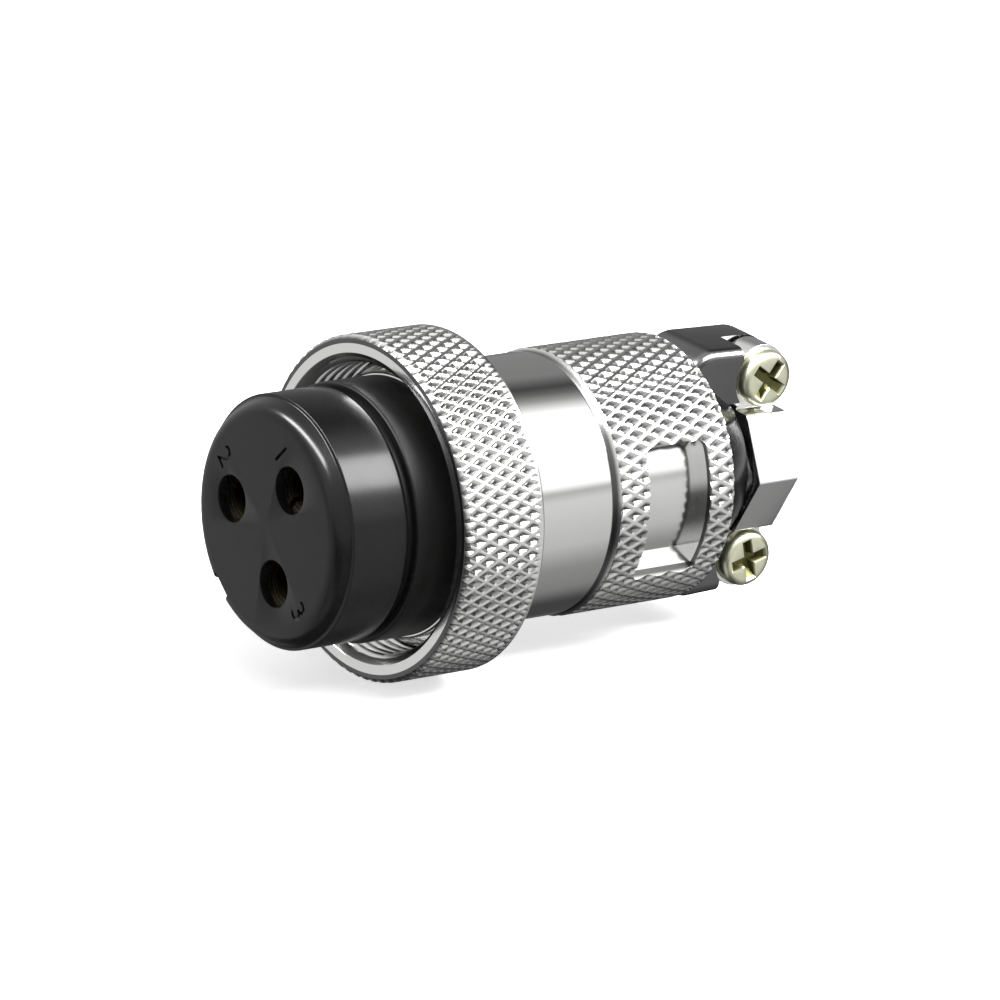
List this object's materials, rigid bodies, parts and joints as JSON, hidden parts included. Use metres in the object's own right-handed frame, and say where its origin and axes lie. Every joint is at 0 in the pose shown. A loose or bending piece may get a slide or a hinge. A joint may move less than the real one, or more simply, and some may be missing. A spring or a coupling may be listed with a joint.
{
  "type": "cable plug",
  "caption": "Round three-contact cable plug with black insulator nose, knurled chrome coupling nut, knurled backshell and a screwed cable clamp.",
  "frame": {"origin": "centre of the flat mating face at the tip of the insulator nose", "axes": "+X runs along the plug's axis from the mating face to the cable end, +Z runs from the axis to the upper clamp screw, and the clamp screw heads face -Y"},
  "size_m": [0.0561, 0.032, 0.032],
  "materials": {
    "bright_chrome": "bright plated, smooth or knurled",
    "black_insulator": "moulded gloss black",
    "contact_brass": "plain turned contact metal",
    "spring_steel": "plain spring steel",
    "zinc_steel": "pale yellow zinc on steel"
  },
  "bodies": {
    "plug_body": {"front_insulator": "black_insulator", "rear_insulator": "black_insulator", "insulator_screw": "zinc_steel", "insulator_ring": "spring_steel", "barrel": "bright_chrome", "backshell": "bright_chrome", "contact_1": "contact_brass", "contact_2": "contact_brass", "contact_3": "contact_brass", "contact_spring_1": "spring_steel", "contact_spring_2": "spring_steel", "contact_spring_3": "spring_steel"},
    "nut_carrier": {"slide_ring": "spring_steel"},
    "nut": {"coupling_nut": "bright_chrome"},
    "saddle": {"clamp_saddle": "bright_chrome"},
    "screw_upper": {"clamp_screw_upper": "zinc_steel"},
    "screw_lower": {"clamp_screw_lower": "zinc_steel"}
  },
  "joints": [
    {"name": "nut_slide", "type": "slide", "parent": "plug_body", "child": "nut_carrier", "axis": [1, 0, 0], "range_m": [0, 0.01]},
    {"name": "nut_spin", "type": "hinge", "parent": "nut_carrier", "child": "nut", "pos_m": [0.0177, 0, 0], "axis": [1, 0, 0], "continuous": true},
    {"name": "saddle_lift", "type": "slide", "parent": "plug_body", "child": "saddle", "axis": [0, -1, 0], "range_m": [0, 0.003]},
    {"name": "screw_upper_turn", "type": "hinge", "parent": "saddle", "child": "screw_upper", "pos_m": [0.053, 0, 0.00895], "axis": [0, -1, 0], "range_deg": [0, 2160]},
    {"name": "screw_lower_turn", "type": "hinge", "parent": "saddle", "child": "screw_lower", "pos_m": [0.053, 0, -0.00895], "axis": [0, -1, 0], "range_deg": [0, 2160]}
  ],
  "couplings": [
    {"joint": "screw_upper_turn", "follows": "saddle_lift", "rad_per_m": 12566},
    {"joint": "screw_lower_turn", "follows": "saddle_lift", "rad_per_m": 12566}
  ]
}
